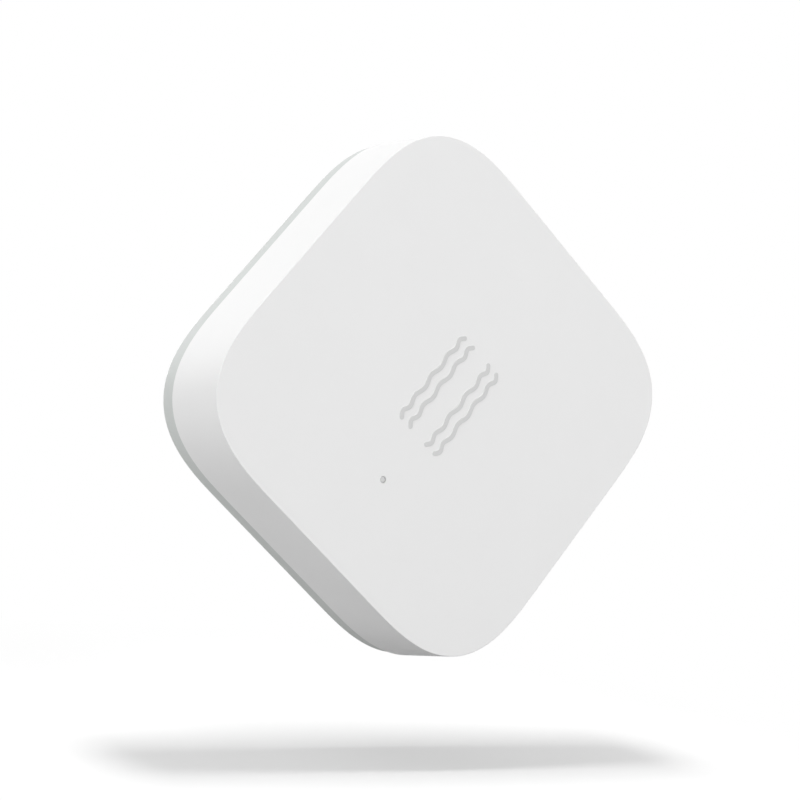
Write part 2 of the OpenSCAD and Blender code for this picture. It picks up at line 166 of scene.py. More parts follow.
def faceOutwards(bm, y, z):
    # turns a shape that points up to point along y
    bmesh.ops.rotate(bm, verts=bm.verts, matrix=Matrix.Rotation(-quarterTurn, 3, "X"))
    bmesh.ops.translate(bm, vec=(0, y, z), verts=bm.verts)


def roundEdges(bm, edges, width, segments=3):
    bmesh.ops.bevel(bm, geom=list(edges), offset=width, segments=segments, profile=0.5,
                    affect="EDGES", material=-1, clamp_overlap=True)


def isLevel(part, z):
    return all(abs(v.co.z - z) < sameHeight for v in part.verts)


def levelFaces(bm, z):
    return [f for f in bm.faces if isLevel(f, z)]


def rimEdges(bm, z):
    # where a level face meets a wall
    level = set(levelFaces(bm, z))
    return [e for e in bm.edges if isLevel(e, z) and len(level.intersection(e.link_faces)) == 1]


def spinProfile(bm, points, steps, centre=(0, 0)):
    # turns points of radius and height about a standing axis
    x, y = centre
    verts = [bm.verts.new((x + r, y, z)) for r, z in points]
    # an edge on the axis sweeps nothing
    swept = [i for i in range(len(points) - 1) if max(points[i][0], points[i + 1][0]) > 0]
    edges = [bm.edges.new(verts[i:i + 2]) for i in swept]
    bmesh.ops.spin(bm, geom=verts + edges, cent=(x, y, 0), axis=(0, 0, 1), angle=4 * quarterTurn,
                   steps=steps, use_merge=True, dvec=(0, 0, 0))
    bmesh.ops.remove_doubles(bm, verts=bm.verts, dist=sameSpot)


def rod(bm, centre, radius, low, high, edge=0.0, steps=40):
    spinProfile(bm, [(0, low), (radius - edge, low), (radius, low + edge), (radius, high - edge),
                     (radius - edge, high), (0, high)], steps, centre)


def tube(bm, centre, inner, outer, low, high, edge=0.0, steps=96):
    # a ring with its upper edges cut back
    spinProfile(bm, [(inner, low), (outer, low), (outer, high - edge), (outer - edge, high),
                     (inner + edge, high), (inner, high - edge), (inner, low)], steps, centre)


def box(bm, low, high, edge=0.0, segments=3):
    made = bmesh.ops.create_cube(bm, size=1)["verts"]
    bmesh.ops.scale(bm, vec=Vector(high) - Vector(low), verts=made)
    bmesh.ops.translate(bm, vec=(Vector(low) + Vector(high)) / 2, verts=made)
    if edge:
        roundEdges(bm, {e for v in made for e in v.link_edges}, edge, segments)


def sheetStrip(path, thickness, y0, y1, edge=0.0):
    # bent sheet metal: a path in x and z, thickened and drawn along y
    banks = ([], [])
    for i, point in enumerate(path):
        along = Vector(path[min(i + 1, len(path) - 1)]) - Vector(path[max(i - 1, 0)])
        across = Vector((-along.y, along.x)).normalized() * thickness / 2
        for bank, way in zip(banks, (1, -1)):
            spot = Vector(point) + across * way
            bank.append(Vector((spot.x, -spot.y)))
    strip = alone(prism, banks[0] + banks[1][::-1], y0, y1)
    if edge:
        roundEdges(strip, rimEdges(strip, y0) + rimEdges(strip, y1), edge, segments=2)
    faceOutwards(strip, 0, 0)
    return strip


def alone(shape, *values, **options):
    # a shape in a mesh of its own
    bm = bmesh.new()
    shape(bm, *values, **options)
    return bm


def addMesh(bm, other):
    part = bpy.data.meshes.new("part")
    other.to_mesh(part)
    other.free()
    bm.from_mesh(part)
    bpy.data.meshes.remove(part)


# objects

def looseObject(name, bm):
    bmesh.ops.recalc_face_normals(bm, faces=bm.faces)
    mesh = bpy.data.meshes.new(name)
    bm.to_mesh(mesh)
    bm.free()
    obj = bpy.data.objects.new(name, mesh)
    scene.collection.objects.link(obj)
    return obj


def cutAway(obj, cutter):
    bpy.context.view_layer.objects.active = obj
    step = obj.modifiers.new("cut", "BOOLEAN")
    step.operation = "DIFFERENCE"
    step.solver = "EXACT"
    step.object = cutter
    bpy.ops.object.modifier_apply(modifier=step.name)
    bpy.data.objects.remove(cutter)


def makePiece(name, bm, material, node=None, body="tag", cuts=(), joined=None):
    # cuts and joins the shape, stands it up and fastens it to its body
    obj = looseObject(name, bm)
    for cutter in cuts:
        cutAway(obj, looseObject("cutter", cutter))
    bm = joined or bmesh.new()
    bm.from_mesh(obj.data)
    bmesh.ops.remove_doubles(bm, verts=bm.verts, dist=sameSpot)
    bmesh.ops.recalc_face_normals(bm, faces=bm.faces)
    bmesh.ops.transform(bm, matrix=standUp, verts=bm.verts)
    for face in bm.faces:
        face.smooth = True
    for edge in bm.edges:
        edge.smooth = edge.calc_face_angle(0) < sharpEdge
    bm.to_mesh(obj.data)
    bm.free()
    obj.data.materials.append(material)
    normals = obj.modifiers.new("normals", "WEIGHTED_NORMAL")
    normals.keep_sharp = True
    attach(obj, body)
    if node:
        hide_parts(node)
    return obj


# shader nodes, made beside any tree, node or socket of the same shader

def feed(socket, value):
    # a plain value or another node's output
    if isinstance(value, bpy.types.NodeSocket):
        socket.id_data.links.new(value, socket)
    else:
        socket.default_value = value


def setInputs(node, values):
    for socket, value in values.items():
        feed(node.inputs[socket], value)


def addNode(beside, kind, settings=None, inputs=None):
    made = beside.id_data.nodes.new("ShaderNode" + kind)
    for key, value in (settings or {}).items():
        setattr(made, key, value)
    setInputs(made, inputs or {})
    return made


def mathNode(operation, first, second=0):
    return addNode(first, "Math", {"operation": operation}, {0: first, 1: second}).outputs[0]


def carryOver(value, low, high, start=0.0, end=1.0, curve="LINEAR"):
    # from between start and end to between low and high
    inputs = {"Value": value, "From Min": start, "From Max": end, "To Min": low, "To Max": high}
    return addNode(value, "MapRange", {"interpolation_type": curve}, inputs).outputs["Result"]


def mixColours(factor, *colours):
    first, second = [(*c, 1) if isinstance(c, tuple) else c for c in colours]
    inputs = {"Factor": factor, "A": first, "B": second}
    return addNode(factor, "Mix", {"data_type": "RGBA"}, inputs).outputs["Result"]


def noiseAt(place, size, detail=2.0):
    inputs = {"Vector": place, "Scale": 1 / size, "Detail": detail, "Roughness": 0.6}
    return addNode(place, "TexNoise", inputs=inputs).outputs["Fac"]


# materials

def startMaterial(name, colour, roughness, metallic=0.0):
    material = bpy.data.materials.new(name)
    material.use_nodes = True
    shader = material.node_tree.nodes["Principled BSDF"]
    setInputs(shader, {"Base Color": (*colour, 1), "Roughness": roughness, "Metallic": metallic})
    return material, shader, addNode(shader, "TexCoord").outputs["Object"]


def varyColour(shader, factor, colour, tone):
    # tone holds the darkest and the lightest share of the colour
    dark, light = [tuple(c * share for c in colour) for share in tone]
    feed(shader.inputs["Base Color"], mixColours(factor, dark, light))


def varyRoughness(shader, factor, roughness, gloss):
    feed(shader.inputs["Roughness"], carryOver(factor, *[roughness + change for change in gloss]))


def addBump(shader, height, depth, strength):
    bump = addNode(height, "Bump", inputs={"Height": height, "Strength": strength, "Distance": depth})
    feed(shader.inputs["Normal"], bump.outputs["Normal"])


mould = {
    "cloud": 6 * mm,  # of tone
    "tone": (0.988, 1.008),
    "patch": 0.8 * mm,  # of gloss
    "gloss": (-0.05, 0.06),
    "relief": (0.004 * mm, 0.6),  # depth, strength
    "optics": {"IOR": 1.47, "Specular IOR Level": 0.3},
}


def moulded(name, colour, roughness=0.42, grain=0.09 * mm):
    # satin mould finish: fine grain, faint clouds of tone and gloss
    material, shader, place = startMaterial(name, colour, roughness)
    varyColour(shader, noiseAt(place, mould["cloud"]), colour, mould["tone"])
    varyRoughness(shader, noiseAt(place, mould["patch"]), roughness, mould["gloss"])
    addBump(shader, noiseAt(place, grain, detail=3), *mould["relief"])
    setInputs(shader, mould["optics"])
    return material


metal = {
    "cloud": 3 * mm, "tone": (0.93, 1.04), "gloss": (-0.08, 0.12), "bump": 0.5,
}


def sheetMetal(name, colour, roughness, brush=(1, 1, 1), grain=0.15 * mm, depth=0.004 * mm):
    # plated sheet: fine rolling marks along one way and uneven gloss
    material, shader, place = startMaterial(name, colour, roughness, 1.0)
    stretch = addNode(place, "Mapping", inputs={"Vector": place, "Scale": brush})
    marks = noiseAt(stretch.outputs["Vector"], grain, detail=4)
    varyColour(shader, noiseAt(place, metal["cloud"]), colour, metal["tone"])
    varyRoughness(shader, marks, roughness, metal["gloss"])
    addBump(shader, marks, depth, metal["bump"])
    return material


mask = {
    "roughness": 0.28,
    "coat": {"Coat Weight": 0.4, "Coat Roughness": 0.15},
    "patch": 3.2 * mm,  # size of a stretch of like traces
    "crossed": 0.5,  # share of them that runs the other way
    "plain": 0.5,  # share of them with no traces
    "pitch": 0.62 * mm,  # trace to trace
    "gap": 0.62,  # share of the pitch
    "relief": (0.02 * mm, 0.5),
    "via": 0.2 * mm,  # radius of a plated hole
    "viaSpacing": 2.1 * mm, "viaColour": (0.075, 0.27, 0.15),
}


def flatPlace(place):
    # along the lying tag's x and y, from the standing tag's place
    tilt = 1 / math.sqrt(2)
    inputs = {}
    for axis, way in (("X", (tilt, 0, -tilt)), ("Y", (tilt, 0, tilt))):
        dot = addNode(place, "VectorMath", {"operation": "DOT_PRODUCT"}, {0: place, 1: way})
        inputs[axis] = dot.outputs["Value"]
    return addNode(place, "CombineXYZ", inputs=inputs).outputs["Vector"]


def solderMask(name, green, copper):
    # glossy mask over traces that run this way or that, with plated holes between
    material, shader, place = startMaterial(name, green, mask["roughness"])
    flat = flatPlace(place)
    inputs = {"Vector": flat, "Scale": 1 / mask["patch"]}
    patch = addNode(flat, "TexVoronoi", {"distance": "CHEBYCHEV"}, inputs)
    pick = addNode(flat, "SeparateColor", inputs={"Color": patch.outputs["Color"]}).outputs
    axes = addNode(flat, "SeparateXYZ", inputs={"Vector": flat}).outputs
    inputs = {"Factor": mathNode("GREATER_THAN", pick["Red"], mask["crossed"])}
    for axis, socket in (("X", "A"), ("Y", "B")):
        step = mathNode("FRACT", mathNode("MULTIPLY", axes[axis], 1 / mask["pitch"]))
        inputs[socket] = mathNode("GREATER_THAN", step, mask["gap"])
    choice = addNode(flat, "Mix", {"data_type": "FLOAT"}, inputs).outputs["Result"]
    trace = mathNode("MULTIPLY", choice, mathNode("GREATER_THAN", pick["Green"], mask["plain"]))
    inputs = {"Vector": flat, "Scale": 1 / mask["viaSpacing"]}
    spots = addNode(flat, "TexVoronoi", {"voronoi_dimensions": "2D"}, inputs).outputs["Distance"]
    via = mathNode("LESS_THAN", spots, mask["via"] / mask["viaSpacing"])
    tracks = mixColours(trace, green, copper)
    feed(shader.inputs["Base Color"], mixColours(via, tracks, mask["viaColour"]))
    addBump(shader, mathNode("MAXIMUM", trace, via), *mask["relief"])
    setInputs(shader, mask["coat"])
    return material


speckRelief = (0.006 * mm, 0.5)  # depth, strength


def speckled(name, colour, roughness, size, spread=0.12):
    # fired or pressed powder: fine light and dark specks
    material, shader, place = startMaterial(name, colour, roughness)
    specks = noiseAt(place, size, detail=5)
    varyColour(shader, specks, colour, (1 - spread, 1 + spread))
    addBump(shader, specks, *speckRelief)
    return material


foam = {
    "cell": 0.28 * mm, "roughness": 0.8, "tone": (0.86, 1.04), "relief": (0.05 * mm, 0.6),
}


def closedFoam(name, colour):
    # small closed cells cut open at the surface
    material, shader, place = startMaterial(name, colour, foam["roughness"])
    inputs = {"Vector": place, "Scale": 1 / foam["cell"]}
    cells = addNode(place, "TexVoronoi", {"feature": "SMOOTH_F1"}, inputs).outputs["Distance"]
    varyColour(shader, cells, colour, foam["tone"])
    addBump(shader, cells, *foam["relief"])
    return material


lens = {
    "roughness": 0.18, "haze": 0.4 * mm, "tone": (0.97, 1.03), "gloss": (-0.04, 0.06),
    "optics": {"Coat Weight": 0.3, "IOR": 1.58},
}


def clearLens(name, colour):
    # clear moulded plastic, a little milky, over the dark inside
    material, shader, place = startMaterial(name, colour, lens["roughness"])
    haze = noiseAt(place, lens["haze"])
    varyColour(shader, haze, colour, lens["tone"])
    varyRoughness(shader, haze, lens["roughness"], lens["gloss"])
    setInputs(shader, lens["optics"])
    return material


shellWhite = moulded("shellWhite", (0.84, 0.84, 0.84))
coverGrey = moulded("coverGrey", (0.6, 0.622, 0.61), 0.5)
symbolGrey = moulded("symbolGrey", (0.665, 0.665, 0.665), 0.55, 0.05 * mm)
nylonBlack = moulded("nylonBlack", (0.03, 0.03, 0.032), 0.45, 0.12 * mm)
chipBlack = moulded("chipBlack", (0.025, 0.025, 0.027), 0.5, 0.06 * mm)
sealBlack = moulded("sealBlack", (0.05, 0.05, 0.05), 0.4, 0.2 * mm)
pipeClear = clearLens("pipeClear", (0.47, 0.471, 0.474))
foamWhite = closedFoam("foamWhite", (0.74, 0.75, 0.74))
boardGreen = solderMask("boardGreen", (0.012, 0.085, 0.042), (0.03, 0.17, 0.085))
tinPlate = sheetMetal("tinPlate", (0.68, 0.68, 0.67), 0.3, (1, 1, 5))
screwSteel = sheetMetal("screwSteel", (0.58, 0.585, 0.59), 0.3)
springSteel = sheetMetal("springSteel", (0.66, 0.655, 0.64), 0.26, (1, 6, 1))
cellSteel = sheetMetal("cellSteel", (0.68, 0.68, 0.675), 0.26, (1, 1, 1), 0.2 * mm, 0.001 * mm)
antennaWhite = speckled("antennaWhite", (0.78, 0.79, 0.78), 0.5, 0.1 * mm, 0.04)
ceramicTan = speckled("ceramicTan", (0.42, 0.3, 0.19), 0.45, 0.1 * mm)
cellMass = speckled("cellMass", (0.2, 0.2, 0.2), 0.9, 0.15 * mm, 0.25)
print("materials ready")


# board screws

screw = {
    "head": 3 * mm, "headEdge": 0.05 * mm,
    "crown": ((0.62, 0), (0.86, 0.1 * mm), (0.97, 0.28 * mm), (1, 0.45 * mm)),  # share of the radius, drop
    "thread": 1.6 * mm, "pitch": 0.35 * mm, "ridge": 0.12 * mm,
    "lead": 0.1 * mm,  # board to the first ridge
    "point": 0.6,  # share of the radius left at the tip
    "cross": (2 * mm, 0.5 * mm, 0.4 * mm),  # length, width, depth
    "crossTop": 0.2 * mm,  # above the head
    "crossTaper": 0.72,
    "turns": (17, 31),  # degrees
}
screwAt = screwHigh.x - screw["head"] / 2
screwSpots = [(x, y) for x in (-screwAt, screwAt) for y in (-screwAt, screwAt)]


def screwProfile():
    head, crest = screw["head"] / 2, screw["thread"] / 2
    root = crest - screw["ridge"]
    edge, pitch, start = screw["headEdge"], screw["pitch"], screw["lead"]
    profile = [(0, screwLow.z)] + [(head * share, screwLow.z + drop) for share, drop in screw["crown"]]
    profile += [(head, boardLow.z - edge), (head - edge, boardLow.z), (crest, boardLow.z)]
    z = boardHigh.z
    while z < screwHigh.z - 2 * pitch:
        profile += [(root, z + start), (crest, z + pitch / 2 + start)]
        z += pitch
    return profile + [(root, z + start), (crest * screw["point"], screwHigh.z), (0, screwHigh.z)]


def makeScrews():
    length, width, depth = screw["cross"]
    turnX, turnY = screw["turns"]
    bm = bmesh.new()
    arms = [bmesh.new(), bmesh.new()]
    for x, y in screwSpots:
        spinProfile(bm, screwProfile(), steps=40, centre=(x, y))
        middle = Vector((x, y))
        turn = math.radians((turnX * x + turnY * y) / screwAt)
        for quarter, arm in enumerate(arms):
            way = Matrix.Rotation(turn + quarterTurn * quarter, 2)
            slit = [middle + way @ p for p in pillOutline(length, width, steps=4)]
            for vert in prism(arm, slit, screwLow.z - screw["crossTop"], screwLow.z + depth).verts:
                vert.co.xy = middle + (vert.co.xy - middle) * screw["crossTaper"]
    makePiece("boardScrews", bm, screwSteel, "board_screws", cuts=arms)


# wave symbol

stroke = {
    "length": 11.6 * mm, "width": 0.5 * mm,
    "inner": 1.5 * mm,  # from the face's middle
    "pitch": 1.36 * mm, "swing": 0.165 * mm,
    "waves": 2,  # from the middle to each hook
    "gather": 0.15,  # share of the waves drawn to the tips
    "gatherPower": 5,  # how late that starts
    "hook": 0.6 * mm,
    "bend": 0.05 * mm,  # inner radius before a hook
    "steps": 160, "tipSteps": 8, "edge": 0.03 * mm,
}


def strokeSwing(y):
    # waves that shorten towards the tips, then a hook
    hookStart = (stroke["length"] - stroke["width"]) / 2 - stroke["hook"]
    beyond = abs(y) - hookStart
    if beyond > 0:
        bend = stroke["bend"] + stroke["width"] / 2
        return stroke["swing"] + bend - math.hypot(beyond, bend)
    share = abs(y) / hookStart
    gather = stroke["gather"]
    turns = stroke["waves"] * ((1 - gather) * share + gather * share ** stroke["gatherPower"])
    return stroke["swing"] * math.cos(2 * math.pi * turns)


def strokeOutline(side, offset):
    # both banks of the wavy line, joined by round tips
    half = stroke["width"] / 2
    end = stroke["length"] / 2 - half
    steps, tipSteps = stroke["steps"], stroke["tipSteps"]
    nudge = 0.01 * mm
    banks = ([], [])
    for i in range(steps + 1):
        y = end * (2 * i / steps - 1)
        slope = (strokeSwing(y + nudge) - strokeSwing(y - nudge)) / (2 * nudge)
        normal = Vector((1, -slope)).normalized() * half
        for bank, way in zip(banks, (1, -1)):
            bank.append(Vector((strokeSwing(y), y)) + normal * way)
    turns = [Matrix.Rotation(math.pi * i / tipSteps, 2) for i in range(1, tipSteps)]
    tips = []
    for y, start in ((end, banks[0][-1]), (-end, banks[1][0])):
        middle = Vector((strokeSwing(end), y))
        tips.append([middle + turn @ (start - middle) for turn in turns])
    loop = banks[0] + tips[0] + banks[1][::-1] + tips[1]
    return [Vector((side * (offset + p.x), p.y)) for p in loop]


def strokePlates(low, high, edge=0.0):
    bm = bmesh.new()
    for side in (-1, 1):
        for offset in (stroke["inner"], stroke["inner"] + stroke["pitch"]):
            prism(bm, strokeOutline(side, offset), low, high)
    if edge:
        roundEdges(bm, rimEdges(bm, high), edge)
    return bm


def makeSymbol():
    plates = strokePlates(symbolLow.z, symbolHigh.z, stroke["edge"])
    makePiece("waveSymbol", plates, symbolGrey, "wave_symbol")


# reset button

button = {"edge": 0.22 * mm, "lip": 0.5 * mm, "lipThickness": 0.75 * mm}
buttonSize = buttonHigh - buttonLow
buttonZ = (buttonLow.z + buttonHigh.z) / 2


def makeButton():
    bm = bmesh.new()
    lip = prism(bm, pillOutline(buttonSize.x, buttonSize.z), 0, button["lipThickness"])
    liftFace(bm, insetFace(bm, lip, button["lip"]), buttonSize.y)
    roundEdges(bm, rimEdges(bm, buttonSize.y), button["edge"], segments=5)
    faceOutwards(bm, buttonLow.y, buttonZ)
    makePiece("resetButton", bm, shellWhite, "reset_button", "button")


# front shell

shell = {
    "wall": 1.4 * mm, "faceThickness": 1.4 * mm, "frontEdge": 0.06 * mm,
    "pinHole": 0.71 * mm, "buttonGap": 0.1 * mm,
    "boss": (2.1 * mm, 0.82 * mm, 2.22 * mm),  # radius, bore, depth of the bore
    "bossEdge": 0.1 * mm,
    "socket": (1.33 * mm, 2.13 * mm, 0.8 * mm),  # for the light pipe: radii, height
    "root": 0.2 * mm,  # of bosses and socket, into the face
}
pipeSpot = ((pipeLow.x + pipeHigh.x) / 2, (pipeLow.y + pipeHigh.y) / 2)
roofZ = faceZ - shell["faceThickness"]


def shellPosts():
    # screw bosses and the light pipe's socket
    posts = bmesh.new()
    foot = boardHigh.z
    root = roofZ + shell["root"]
    edge = shell["bossEdge"]
    wide, bore, bite = shell["boss"]
    for spot in screwSpots:
        spinProfile(posts, [(bore, foot), (wide - edge, foot), (wide, foot + edge), (wide, root), (0, root),
                            (0, foot + bite), (bore, foot + bite), (bore, foot)], steps=40, centre=spot)
    inner, outer, high = shell["socket"]
    tube(posts, pipeSpot, inner, outer, roofZ - high, root, steps=48)
    return posts


def makeShell():
    bm = bmesh.new()
    rim = flatFace(bm, outline(), rimZ)
    liftFace(bm, rim, faceZ, draftScale(faceZ))
    liftFace(bm, insetFace(bm, rim, shell["wall"]), roofZ, draftScale(roofZ))
    roundEdges(bm, rimEdges(bm, faceZ), shell["frontEdge"], segments=5)
    hole = alone(rod, pipeSpot, shell["pinHole"] / 2, roofZ - past, faceZ + past, steps=48)
    room = 2 * (shell["buttonGap"] - button["lip"])
    pill = pillOutline(buttonSize.x + room, buttonSize.z + room)
    opening = alone(prism, pill, 0, buttonSize.y + 2 * past)
    faceOutwards(opening, buttonLow.y - past, buttonZ)
    grooves = strokePlates(symbolLow.z, faceZ + past)
    makePiece("frontShell", bm, shellWhite, "front_shell", cuts=(hole, opening, grooves), joined=shellPosts())


# light pipe

pipe = {
    "tip": 0.325 * mm, "stem": 0.8 * mm, "flange": 0.8 * mm, "dome": 0.03 * mm,
    "domeKnee": (0.7, 0.3),  # shares of radius and height
}


def makeLightPipe(tip, stem, flange, dome, domeKnee):
    wide = (pipeHigh.x - pipeLow.x) / 2
    flangeZ = roofZ - flange
    across, above = domeKnee
    profile = [(0, pipeLow.z), (stem, pipeLow.z), (stem, flangeZ), (wide, flangeZ), (wide, roofZ),
               (tip, roofZ), (tip, pipeHigh.z - dome), (tip * across, pipeHigh.z - dome * above),
               (0, pipeHigh.z)]
    makePiece("lightPipe", alone(spinProfile, profile, steps=48, centre=pipeSpot), pipeClear, "light_pipe")


# rear cover and adhesive pad

cover = {
    "step": 0.1 * mm,  # shell's edge in to the cover's rim
    "floor": 1.55 * mm, "plugGap": 0.1 * mm, "plugWall": 1 * mm, "backEdge": 0.3 * mm,
    "notch": (7 * mm, 0.9 * mm, 0.8 * mm),  # along the rim, into it, under the shell
    "padGap": 0.15 * mm, "padInset": 4 * mm, "padEdge": 0.12 * mm,
    "ring": (5.8 * mm, 7 * mm, 0.2 * mm, 0.2 * mm, 0.05 * mm),  # radii, height, depth in the floor, rounding
}


def makeRearCover():
    step = cover["step"]
    half = tag["width"] / 2
    floorZ = coverLow.z + cover["floor"]
    bm = bmesh.new()
    back = flatFace(bm, outline(step), coverLow.z)
    rim = liftFace(bm, back, rimZ)
    plug = insetFace(bm, rim, shell["wall"] + cover["plugGap"] - step)
    plug = liftFace(bm, plug, coverHigh.z, draftScale(coverHigh.z))
    liftFace(bm, insetFace(bm, plug, cover["plugWall"]), floorZ)
    pocketIn = cover["padInset"] - cover["padGap"]
    liftFace(bm, insetFace(bm, back, pocketIn - step), padHigh.z)
    # the back's outer edge lies further out than the pocket's
    beyond = half - pocketIn + cover["backEdge"]
    back = [e for e in rimEdges(bm, coverLow.z) if all(max(map(abs, v.co.xy)) > beyond for v in e.verts)]
    roundEdges(bm, back, cover["backEdge"], segments=5)
    along, deep, high = cover["notch"]
    low = (half - step - deep, -along / 2, rimZ - high)
    notch = alone(box, low, (half - step + deep, along / 2, rimZ + past))
    inner, outer, high, root, edge = cover["ring"]
    ring = alone(tube, (0, 0), inner, outer, floorZ - root, floorZ + high, edge)
    makePiece("rearCover", bm, coverGrey, "rear_cover", "cover", cuts=[notch], joined=ring)


def makePad():
    bm = alone(prism, outline(cover["padInset"]), padLow.z, padHigh.z)
    roundEdges(bm, rimEdges(bm, padLow.z), cover["padEdge"])
    pad = makePiece("adhesivePad", bm, foamWhite, "adhesive_pad", "cover")


makeShell()
makeSymbol()
makeButton()
makeLightPipe(**pipe)
makeRearCover()
makePad()
print("casing modelled")


# battery holder

holder = {
    "inner": 10.25 * mm,
    "seat": 8 * mm,  # inner radius
    "seatLap": 0.01 * mm,  # into the walls
    "peg": 1 * mm,
    "pegTurn": 135,  # degrees, and again opposite
    "pegRoot": 0.2 * mm,  # into the seat
    "slot": 6 * mm,  # for the side contact
    "pry": 8 * mm,  # for lifting the cell out
    "edge": 0.12 * mm,
}
holderOuter = holderHigh.y
pegReach = (holder["inner"] + holderOuter) / 2
pegSpots = arcPoints((0, 0), pegReach, holder["pegTurn"], holder["pegTurn"] + 180, steps=1)


def makeHolder():
    seatZ = capHigh.z
    edge = holder["edge"]
    halves = [holder[gap] / 2 / holderOuter for gap in ("slot", "pry")]
    slotTurn, pryTurn = [math.degrees(math.asin(half)) for half in halves]
    bm = bmesh.new()
    for start, end in ((slotTurn, 180 - pryTurn), (180 + pryTurn, 360 - slotTurn)):
        prism(bm, sectorOutline(holder["inner"], holderOuter, start, end, steps=56), holderLow.z, seatZ)
    standing = [e for e in bm.edges if not isLevel(e, e.verts[0].co.z)]
    corners = [e for e in standing if e.calc_face_angle(0) > sharpEdge]
    roundEdges(bm, rimEdges(bm, holderLow.z) + corners, edge)
    seat = sectorOutline(holder["seat"], holderOuter, slotTurn, 360 - slotTurn, steps=128)
    prism(bm, seat, seatZ - holder["seatLap"], holderHigh.z - boardHigh.z + boardLow.z)
    for spot in pegSpots:
        rod(bm, spot, holder["peg"] / 2, boardLow.z - holder["pegRoot"], holderHigh.z, edge)
    makePiece("batteryHolder", bm, nylonBlack, "battery_holder")


# circuit board and its bare pads

board = {
    "holeGap": 0.1 * mm,
    "notchRoom": 1 * mm,  # either side of the button
    "notchCorner": 0.6 * mm, "edge": 0.05 * mm,
}
bare = {
    "thickness": 0.03 * mm, "edge": 0.01 * mm,
    "rings": (0.15 * mm, 0.35 * mm, 359.9),  # past a thread, past a head, and degrees, just short of full
    "tests": (5, 0.75 * mm, 2.5 * mm, -15.6 * mm),  # count, radius, pitch and y of the test pads
    "lands": (12.4 * mm, 14.4 * mm, 2.6 * mm, 0.7 * mm),  # ends in x, y either way, width
}


def makeBoard():
    scale = draftScale(boardHigh.z)
    edge = outline(tag["width"] / 2 - boardHigh.x / scale)
    bm = alone(prism, [p * scale for p in edge], boardLow.z, boardHigh.z)
    roundEdges(bm, rimEdges(bm, boardLow.z) + rimEdges(bm, boardHigh.z), board["edge"], segments=2)
    holes = bmesh.new()
    for spots, width in ((screwSpots, screw["thread"]), (pegSpots, holder["peg"])):
        for spot in spots:
            rod(holes, spot, width / 2 + board["holeGap"], boardLow.z - past, boardHigh.z + past)
    half = buttonSize.x / 2 + board["notchRoom"]
    low = (-half, switchHigh.y, boardLow.z - past)
    notch = alone(box, low, (half, boardHigh.y + past, boardHigh.z + past), board["notchCorner"])
    makePiece("circuitBoard", bm, boardGreen, "circuit_board", cuts=(holes, notch))


def makeBoardPads(thickness, edge, rings, tests, lands):
    # rings round the screws, test pads and the side contact's lands
    high = boardLow.z
    low = high - thickness
    inside, outside, turn = rings
    ring = sectorOutline(screw["thread"] / 2 + inside, screw["head"] / 2 + outside, 0, turn, steps=48)
    bm = bmesh.new()
    for spot in screwSpots:
        prism(bm, [p + Vector(spot) for p in ring], low, high)
    count, radius, pitch, row = tests
    for i in range(count):
        rod(bm, ((i - (count - 1) / 2) * pitch, row), radius, low, high, edge, steps=32)
    x0, x1, aside, width = lands
    for y in (-aside, aside):
        box(bm, (x0, y - width / 2, low), (x1, y + width / 2, high), edge)
    makePiece("boardPads", bm, tinPlate)


# contacts

contact = {
    "thickness": 0.2 * mm, "edge": 0.03 * mm, "steps": 32,
    "slit": (0.55, 1.4, 0.5 * mm),  # middle and length as shares, width
    "bend": 0.35 * mm,
    "bump": (1 * mm, 0.45 * mm),  # height above the tip, spread
}


def makeLeaf():
    # negative: an S from the board down to the cell, slit at its free end
    low, high = flatBox("negative_contact")
    half = contact["thickness"] / 2
    steps = contact["steps"]
    path = []
    for i in range(steps + 1):
        x = low.x + (high.x - low.x) * i / steps
        share = min(max((2 * x - low.x) / (high.x - low.x), 0), 1)
        ease = share * share * (3 - 2 * share)
        path.append((x, (high.z - half) * (1 - ease) + (low.z + half) * ease))
    leaf = sheetStrip(path, 2 * half, low.y, high.y, contact["edge"])
    at, length, width = contact["slit"]
    pill = [p + Vector((high.x * at, 0)) for p in pillOutline(high.x * length, width)]
    slit = alone(prism, pill, low.z - past, high.z + past)
    makePiece("negativeContact", leaf, springSteel, "negative_contact", cuts=[slit])


def makeSideSpring():
    # positive: a foot on the board and an upright whose bump presses the can
    low, high = flatBox("positive_contact")
    half = contact["thickness"] / 2
    bend = contact["bend"]
    bump, spread = contact["bump"]
    upright = holder["inner"] + half
    level = high.z - half
    path = [(high.x, level), (upright + bend, level)]
    path += arcPoints((upright + bend, level - bend), bend, 90, 180, steps=6)[1:]
    for i in range(1, contact["steps"] + 1):
        z = level - bend + (low.z - level + bend) * i / contact["steps"]
        away = (z - low.z - bump) / spread
        path.append((upright - (upright - half - low.x) * math.exp(-away * away), z))
    spring = sheetStrip(path, 2 * half, low.y, high.y, contact["edge"])
    makePiece("positiveContact", spring, springSteel, "positive_contact")


# coin cell

cell = {
    "sheet": 0.25 * mm,
    "baseRing": 1.5 * mm,  # side in to the flat of the base
    "baseCorner": 0.55 * mm, "rimCorner": 0.4 * mm, "rimEase": 0.1 * mm,
    "lip": 0.6 * mm,  # side in to the crimped edge
    "plus": (4.2 * mm, 0.8 * mm, 0.05 * mm, 4.6 * mm),  # length, width, depth, place
    "groove": (8.3 * mm, 8.5 * mm),  # radii, half as deep as the sign
    "capCorner": 0.5 * mm, "coreEdge": 0.25 * mm,
}
gasket = {
    "footIn": 0.3 * mm, "footUp": 0.4 * mm, "shoulder": 0.15 * mm,
    "edgeIn": 0.08 * mm, "edgeDown": 0.06 * mm, "innerEdge": 0.05 * mm,
}
cellWall = cell["sheet"]
lipAt = canHigh.x - cell["lip"]


